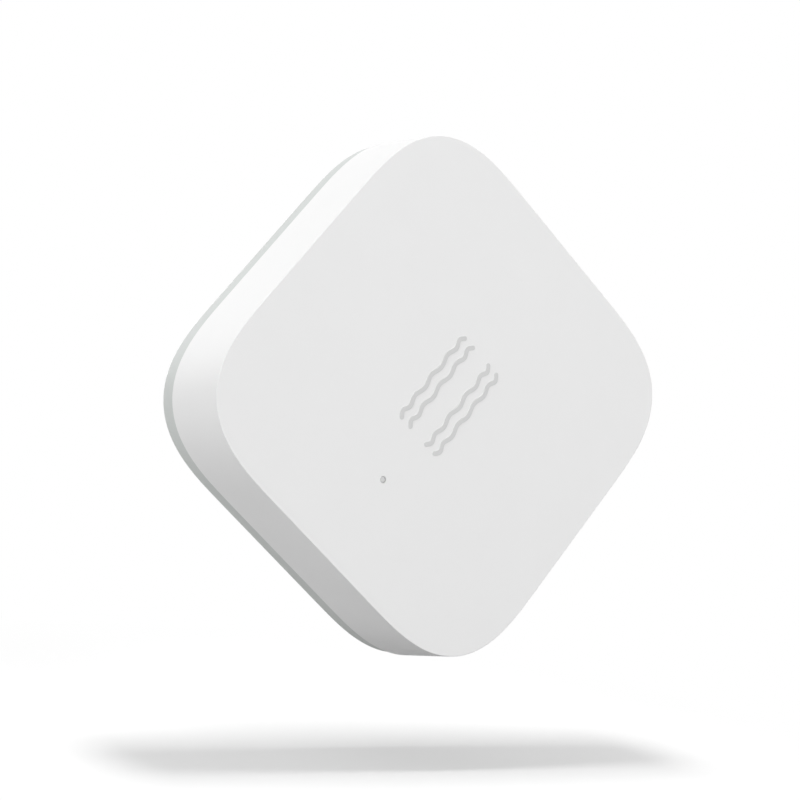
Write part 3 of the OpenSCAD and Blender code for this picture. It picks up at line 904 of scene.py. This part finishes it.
def makeCan():
    wide = canHigh.x
    low, high = canLow.z, canHigh.z
    corner, rim = cell["baseCorner"], cell["rimCorner"]
    profile = [(0, low), (wide - cell["baseRing"], low)]
    profile += arcPoints((wide - corner, low + corner), corner, -90, 0)
    profile += arcPoints((wide - rim, high - rim), rim, 0, 90)
    inside = wide - cellWall
    profile += [(lipAt, high), (lipAt, high - cellWall), (inside, high - cellWall - cell["rimEase"]),
                (inside, low + corner), (wide - corner, low + cellWall), (0, low + cellWall)]
    length, width, depth, at = cell["plus"]
    cuts = []
    for x, y in ((length / 2, width / 2), (width / 2, length / 2)):
        cuts.append(alone(box, (-x, at - y, low - past), (x, at + y, low + depth)))
    cuts.append(alone(tube, (0, 0), *cell["groove"], low - past, low + depth / 2))
    makePiece("cellCan", alone(spinProfile, profile, steps=128), cellSteel, "cell_can", cuts=cuts)


def makeCap():
    wide, top = capHigh.x, capHigh.z
    corner = cell["capCorner"]
    profile = [(0, top)] + arcPoints((wide - corner, top - corner), corner, 90, 0)
    profile += [(wide, capLow.z), (wide - cellWall, capLow.z), (wide - cellWall, top - corner),
                (wide - corner, top - cellWall), (0, top - cellWall)]
    makePiece("cellCap", alone(spinProfile, profile, steps=128), cellSteel, "cell_cap")


def makeGasket(footIn, footUp, shoulder, edgeIn, edgeDown, innerEdge):
    low, high = [corner.z for corner in flatBox("cell_gasket")]
    inner = capHigh.x
    wide = canHigh.x - cellWall
    crimpZ = canHigh.z - cellWall
    profile = [(inner, low), (wide - footIn, low), (wide, low + footUp), (wide, crimpZ - shoulder),
               (lipAt, crimpZ), (lipAt, high - edgeDown), (lipAt - edgeIn, high),
               (inner + innerEdge, high), (inner, high - innerEdge), (inner, low)]
    makePiece("cellGasket", alone(spinProfile, profile, steps=96), sealBlack, "cell_gasket")


def makeCore():
    low, high = flatBox("cell_core")
    core = alone(rod, (0, 0), high.x, low.z, high.z, cell["coreEdge"], steps=96)
    makePiece("cellCore", core, cellMass, "cell_core")


# chips on the board's front

chip = {
    "edge": 0.08 * mm,
    "inset": 0.03 * mm,  # a leadless body inside its terminals
    "lift": 0.1 * mm,  # a leaded body off the board
    "dimple": (0.25 * mm, 0.05 * mm, 0.55 * mm),  # radius, depth, in from two sides
    "terminal": (0.25 * mm, 0.2 * mm, 0.02 * mm),  # depth, height, rounding
}
lead = {
    "thickness": 0.15 * mm, "width": 0.4 * mm,
    "root": 0.2 * mm,  # inside the body
    "ease": 0.1 * mm,  # height of a bend
    "knee": 0.45,  # share of the lead's reach
    "bends": (0.6, 1, 1.1, 1.35),  # shares of the knee
}
leadlessChips = {"radio_chip": ("radioChip", 8), "motion_sensor": ("motionSensor", 4)}  # terminals a side
fourInRow = (-1.5, -0.5, 0.5, 1.5)
leadedChips = {  # name, body's share of the width, pitch, leads of either side
    "memory_chip": ("memoryChip", 0.72, 1.27 * mm, (fourInRow, fourInRow)),
    "regulator": ("regulatorChip", 0.6, 0.95 * mm, ((-1, 0, 1), (-1, 1))),
}


def gullWings(rows, pitch, body, reach, low, high):
    # leads out of both long sides, drawn along x and turned
    half, width, ease = lead["thickness"] / 2, lead["width"], lead["ease"]
    foot = low + half
    bends = [body + (reach - body) * lead["knee"] * share for share in lead["bends"]]
    levels = (high, high - ease, foot + ease, foot)
    path = [(body - lead["root"], high), *zip(bends, levels), (reach, foot)]
    made = bmesh.new()
    for turn, row in zip((quarterTurn, -quarterTurn), rows):
        for place in row:
            strip = sheetStrip(path, 2 * half, -width / 2, width / 2)
            bmesh.ops.rotate(strip, verts=strip.verts, matrix=Matrix.Rotation(turn, 3, "Z"))
            bmesh.ops.translate(strip, vec=(place * pitch, 0, 0), verts=strip.verts)
            addMesh(made, strip)
    return made


def chipBody(name, low, high, node):
    radius, depth, corner = chip["dimple"]
    spot = (low[0] + corner, high[1] - corner)
    dimple = alone(rod, spot, radius, high[2] - depth, high[2] + depth, steps=24)
    makePiece(name, alone(box, low, high, chip["edge"], segments=2), chipBlack, node, cuts=[dimple])


def makeChips():
    deep, tall, edge = chip["terminal"]
    inset = Vector((1, 1, 0)) * chip["inset"]
    for node, (name, count) in leadlessChips.items():
        low, high = flatBox(node)
        chipBody(name, low + inset, high - inset, node)
        # terminals just show at the body's lower edges
        bm = bmesh.new()
        pitch = (high.x - low.x) / (count + 1)
        for i in range(count):
            near = pitch * (i + 1) - pitch / 4
            far = near + pitch / 2
            for y in (low.y, high.y - deep):
                box(bm, (low.x + near, y, low.z), (low.x + far, y + deep, low.z + tall), edge)
            for x in (low.x, high.x - deep):
                box(bm, (x, low.y + near, low.z), (x + deep, low.y + far, low.z + tall), edge)
        makePiece(name + "Terminals", bm, tinPlate)
    for node, (name, share, pitch, rows) in leadedChips.items():
        low, high = flatBox(node)
        middle = (low + high) / 2
        reach = (high.y - low.y) / 2
        body = reach * share
        foot = (low.x, middle.y - body, low.z + chip["lift"])
        chipBody(name, foot, (high.x, middle.y + body, high.z), node)
        leads = gullWings(rows, pitch, body, reach, low.z, middle.z)
        bmesh.ops.translate(leads, vec=(middle.x, middle.y, 0), verts=leads.verts)
        makePiece(name + "Leads", leads, tinPlate)


# shield can

shield = {
    "sheet": 0.2 * mm, "edge": 0.15 * mm,
    "columns": 5,  # of holes
    "rows": 4, "radius": 0.45 * mm, "pitch": 2 * mm,
    "start": 2.5 * mm,  # corner to the first hole
}


def makeShieldCan(sheet, edge, columns, rows, radius, pitch, start):
    low, high = flatBox("shield_can")
    roof = high.z - sheet
    bm = alone(box, low, high)
    hollow = liftFace(bm, insetFace(bm, levelFaces(bm, low.z)[0], sheet), roof)
    top = levelFaces(bm, high.z)[0]
    roundEdges(bm, [*top.edges, *hollow.edges], edge)
    holes = bmesh.new()
    for i in range(rows * columns):
        spot = (low.x + start + pitch * (i % columns), low.y + start + pitch * (i // columns))
        rod(holes, spot, radius, roof - past, high.z + past, steps=24)
    makePiece("shieldCan", bm, tinPlate, "shield_can", cuts=[holes])


# crystal and indicator lamp

crystal = {
    "base": 0.45 * mm, "baseEdge": 0.06 * mm, "lidInset": 0.15 * mm,
    "lidStart": 0.4 * mm,  # just inside the base
    "lidEdge": 0.12 * mm,
}
indicator = {
    "clear": (0.3 * mm, 0.05 * mm, 0.12 * mm),  # in from the ends, off the board, rounding
    "end": (0.45 * mm, 0.3 * mm, 0.03 * mm),  # length, height, rounding
}


def makeCrystal(base, baseEdge, lidInset, lidStart, lidEdge):
    low, high = flatBox("crystal")
    inset = Vector((lidInset, lidInset, 0))
    bm = bmesh.new()
    box(bm, low, (high.x, high.y, low.z + base), baseEdge)
    box(bm, low + inset + upwards * lidStart, high - inset, lidEdge)
    makePiece("quartzCrystal", bm, tinPlate, "crystal")


def makeLamp(clear, end):
    low, high = flatBox("indicator_led")
    inset, lift, edge = clear
    body = alone(box, low + Vector((inset, 0, lift)), high - Vector((inset, 0, 0)), edge)
    makePiece("indicatorLamp", body, pipeClear, "indicator_led")
    length, tall, edge = end
    bm = bmesh.new()
    for x in (low.x, high.x - length):
        box(bm, (x, low.y, low.z), (x + length, high.y, low.z + tall), edge)
    makePiece("lampEnds", bm, tinPlate)


# chip antenna

antenna = {
    "inset": 0.03 * mm,  # inside its metal
    "edge": 0.06 * mm,
    "end": 0.7 * mm,  # plated ends
    "rungs": 5,
    "first": 1.4 * mm,  # end to the first rung
    "pitch": 1.05 * mm,
    "margin": 0.25 * mm,  # from the long sides
    "strip": (0.24 * mm, 0.06 * mm, 0.02 * mm),  # width, thickness, rounding
    "lap": 0.05 * mm,  # a join past the rung before
}


def makeAntenna(inset, edge, end, rungs, first, pitch, margin, strip, lap):
    low, high = flatBox("chip_antenna")
    body = alone(box, low + Vector((inset, inset, 0)), high - Vector((inset, inset, inset)), edge)
    makePiece("chipAntenna", body, antennaWhite, "chip_antenna")
    bm = bmesh.new()
    for y in (low.y, high.y - end):
        box(bm, (low.x, y, low.z), (high.x, y + end, high.z), edge)
    # rungs of the radiating strip, joined in turn at either side
    width, thickness, edge = strip
    left, right = low.x + margin, high.x - margin
    base = high.z - thickness
    for i in range(rungs):
        y = low.y + first + pitch * i
        box(bm, (left, y - width / 2, base), (right, y + width / 2, high.z), edge)
        if i:
            x = left if i % 2 else right - width
            box(bm, (x, y - pitch - lap, base), (x + width, y, high.z), edge)
    makePiece("antennaMetal", bm, tinPlate)


# capacitors and resistors

small = {
    "kinds": {"capacitors": ("capacitorRow", 6, ceramicTan), "resistors": ("resistorRow", 5, chipBlack)},
    "width": 0.5 * mm,
    "end": 0.22 * mm,  # plated ends
    "endEdge": 0.04 * mm,
    "inset": 0.015 * mm,  # body inside its ends
    "bodyEdge": 0.03 * mm,
}


def makeSmallParts(kinds, width, end, endEdge, inset, bodyEdge):
    for node, (name, count, material) in kinds.items():
        low, high = flatBox(node)
        pitch = (high.x - low.x - width) / (count - 1)
        bodies = bmesh.new()
        ends = bmesh.new()
        for i in range(count):
            x = low.x + pitch * i
            box(bodies, (x + inset, low.y + end / 2, low.z + inset),
                (x + width - inset, high.y - end / 2, high.z - inset), bodyEdge)
            for y in (low.y, high.y - end):
                box(ends, (x, y, low.z), (x + width, y + end, high.z), endEdge)
        makePiece(name, bodies, material, node)
        makePiece(name + "Ends", ends, tinPlate)


# side-push switch

switch = {
    "baseEdge": 0.06 * mm,
    "gap": 0.05 * mm,  # round the plunger
    "travel": 0.35 * mm,  # room behind the plunger
    "sheet": 0.15 * mm, "bend": 0.3 * mm, "frameEdge": 0.02 * mm, "plungerEdge": 0.1 * mm,
}


def makeSwitch(baseEdge, gap, travel, sheet, bend, frameEdge, plungerEdge):
    plungerLow, plungerHigh = flatBox("switch_plunger")
    cavity = alone(box, plungerLow - Vector((gap, travel, gap)), plungerHigh + Vector((gap, 0, gap)))
    base = alone(box, *flatBox("switch_base"), baseEdge)
    makePiece("switchBase", base, nylonBlack, "switch_base", cuts=[cavity])
    left, right = switchLow.x + sheet / 2, switchHigh.x - sheet / 2
    top = switchHigh.z - sheet / 2
    path = [(left, switchLow.z), (left, top - bend)]
    path += arcPoints((left + bend, top - bend), bend, 180, 90, steps=6)[1:]
    path += arcPoints((right - bend, top - bend), bend, 90, 0, steps=6) + [(right, switchLow.z)]
    strip = sheetStrip(path, sheet, switchLow.y, switchHigh.y, frameEdge)
    makePiece("switchFrame", strip, tinPlate, "switch_frame")
    plunger = alone(box, plungerLow, plungerHigh, plungerEdge)
    makePiece("switchPlunger", plunger, nylonBlack, "switch_plunger", "button")


makeBoard()
makeBoardPads(**bare)
makeScrews()
makeHolder()
makeLeaf()
makeSideSpring()
makeCan()
makeCap()
makeGasket(**gasket)
makeCore()
makeChips()
makeShieldCan(**shield)
makeCrystal(**crystal)
makeLamp(**indicator)
makeAntenna(**antenna)
makeSmallParts(**small)
makeSwitch(**switch)
print("inside modelled")


# camera

camera = {
    "yaw": 32.15, "pitch": -1.854, "roll": 1.933, "distance": 201.1 * mm,
    "shift": (5.04 * mm, 0.44 * mm),  # of the face from the picture's middle
    "focal": 89.28, "sensor": 36, "nearest": 10 * mm,
}


def makeCamera(yaw, pitch, roll, distance, shift, focal, sensor, nearest):
    turn = Matrix.Identity(3)
    for angle, axis in ((pitch, "X"), (yaw, "Y"), (roll, "Z")):
        turn = turn @ Matrix.Rotation(math.radians(angle), 3, axis)
    # face axes: x right, y up, z out of the face
    faceToRow = Matrix(((1, 0, 0), (0, 0, -1), (0, 1, 0)))
    axes = faceToRow @ turn.transposed()
    eye = axes @ Vector((-shift[0], -shift[1], distance)) + Vector((0, -faceZ, 0))
    data = bpy.data.cameras.new("photoCamera")
    data.lens = focal
    data.sensor_width = sensor
    data.clip_start = nearest
    made = bpy.data.objects.new("photoCamera", data)
    made.matrix_world = Matrix.Translation(eye) @ axes.to_4x4()
    scene.collection.objects.link(made)
    scene.camera = made


# stage: a pale floor under the floating tag, a soft sky, two lamps overhead and three fills

stage = {
    "floorDrop": 9.8 * mm,  # from the tag's lowest corner
    "floorSize": 1.2,  # metres across
    "floorTilt": (8.3, -2.6),  # degrees to the right and away, so the shadow lies level
    "bounceWithPaintedShade": (0.02, 0.34),  # its white as it lights the tag, near and far; the dark near value is painted shade under the tag
    # where the painted shade under the tag gives way to the far white
    "paintedShadeReach": (18 * mm, 55 * mm),
    "floorFade": (42 * mm, 80 * mm),  # into the white background
    "sky": 0.56,
    "sun": 1.27,  # overhead, on the tag alone
    "sunSize": 22,  # degrees across
    "sunTilt": 8,  # degrees to the right
    "floorLamp": 0.121,  # watts, overhead, on the floor alone
    "floorLampPlace": (10 * mm, 1 * mm, 135 * mm),  # right, away, up
    "floorLampSize": (34 * mm, 44 * mm),
    "fillSize": 0.6,  # metres
    "fills": {  # watts, and the place in metres
        "leftFill": (7.8, (-0.85, -0.3, 0)),
        "frontFill": (3.28, (0.4, -0.85, 0.05)),
        "rearFill": (5.0, (0.2, 0.9, 0)),  # on the tag alone
    },
}
white = (1, 1, 1, 1)


def seenDirectly(beside):
    # 1 for what is seen, also in metal and through glass, and 0 for what lights the tag
    rays = addNode(beside, "LightPath").outputs
    seen = mathNode("MAXIMUM", rays["Is Camera Ray"], rays["Is Glossy Ray"])
    return mathNode("MAXIMUM", seen, rays["Is Transmission Ray"])


def makeWorld():
    world = bpy.data.worlds.new("softSky")
    world.use_nodes = True
    scene.world = world
    back = world.node_tree.nodes["Background"]
    setInputs(back, {"Color": white, "Strength": carryOver(seenDirectly(back), stage["sky"], 1)})


def viewAxes():
    # level, to the camera's right and away from it
    turn = scene.camera.matrix_world.to_3x3()
    ways = [turn @ Vector(way) for way in ((1, 0, 0), (0, 0, -1))]
    return [Vector((way.x, way.y, 0)).normalized() for way in ways]


def byReach(beside, reach, values):
    # eases between two values with the distance from the middle
    place = addNode(beside, "TexCoord").outputs["Object"]
    length = addNode(beside, "VectorMath", {"operation": "LENGTH"}, {0: place}).outputs["Value"]
    return carryOver(length, *values, *reach, "SMOOTHSTEP")


def floorMaterial():
    # white to the camera, dim to the tag with painted shade under it, fading into the background
    material = bpy.data.materials.new("paleFloor")
    material.use_nodes = True
    nodes = material.node_tree.nodes
    nodes.remove(nodes["Principled BSDF"])
    end = nodes["Material Output"]
    seen = seenDirectly(end)
    # painted shade: the floor bounces less light up from under the tag
    shadedBounce = byReach(end, stage["paintedShadeReach"], stage["bounceWithPaintedShade"])
    shade = mixColours(seen, shadedBounce, (1, 1, 1))
    matt = addNode(end, "BsdfDiffuse", inputs={"Color": shade}).outputs["BSDF"]
    glow = addNode(end, "Emission", inputs={"Color": white}).outputs["Emission"]
    fade = mathNode("MULTIPLY", byReach(end, stage["floorFade"], (0, 1)), seen)
    blend = addNode(end, "MixShader", inputs={"Fac": fade, 1: matt, 2: glow})
    feed(end.inputs["Surface"], blend.outputs["Shader"])
    return material


def makeFloor():
    right, away = viewAxes()
    lean = [math.tan(math.radians(a)) for a in stage["floorTilt"]]
    turn = upwards.rotation_difference(upwards + right * lean[0] + away * lean[1])
    bm = bmesh.new()
    bmesh.ops.create_circle(bm, cap_ends=True, segments=96, radius=stage["floorSize"] / 2)
    bmesh.ops.transform(bm, matrix=turn.to_matrix().to_4x4(), verts=bm.verts)
    bmesh.ops.translate(bm, vec=(0, 0, cadLow.z - stage["floorDrop"]), verts=bm.verts)
    floor = looseObject("paleFloor", bm)
    floor.data.materials.append(floorMaterial())
    return floor


def aimed(place, target):
    aim = (Vector(target) - Vector(place)).to_track_quat("-Z", "Y")
    return Matrix.Translation(place) @ aim.to_matrix().to_4x4()


def addLamp(name, kind, energy, place, **settings):
    data = bpy.data.lights.new(name, kind)
    data.energy = energy
    for key, value in settings.items():
        setattr(data, key, value)
    lamp = bpy.data.objects.new(name, data)
    lamp.matrix_world = place
    scene.collection.objects.link(lamp)
    return lamp


def linkFloor(lamp, floor, state):
    # keeps a lamp on the floor alone, or off it
    group = bpy.data.collections.new(lamp.name + "Lit")
    group.objects.link(floor)
    group.collection_objects[0].light_linking.link_state = state
    lamp.light_linking.receiver_collection = group


def makeLamps(floor):
    right, away = viewAxes()
    middle = Vector((0, (cadLow.y + cadHigh.y) / 2, 0))
    tilt = math.radians(stage["sunTilt"])
    place = aimed(middle + Vector((math.sin(tilt), 0, math.cos(tilt))), middle)
    sun = addLamp("overhead", "SUN", stage["sun"], place, angle=math.radians(stage["sunSize"]))
    linkFloor(sun, floor, "EXCLUDE")
    aside, behind, high = stage["floorLampPlace"]
    width, depth = stage["floorLampSize"]
    level = Matrix((right, away, upwards)).transposed().to_4x4()
    place = Matrix.Translation(middle + right * aside + away * behind + upwards * high) @ level
    form = {"shape": "ELLIPSE", "size": width, "size_y": depth}
    linkFloor(addLamp("floorLamp", "AREA", stage["floorLamp"], place, **form), floor, "INCLUDE")
    for name, (watts, spot) in stage["fills"].items():
        addLamp(name, "AREA", watts, aimed(spot, (0, 0, 0)), size=stage["fillSize"])
    linkFloor(scene.objects["rearFill"], floor, "EXCLUDE")


makeCamera(**camera)
makeWorld()
makeLamps(makeFloor())
scene.view_settings.view_transform = "Standard"
print("stage ready")
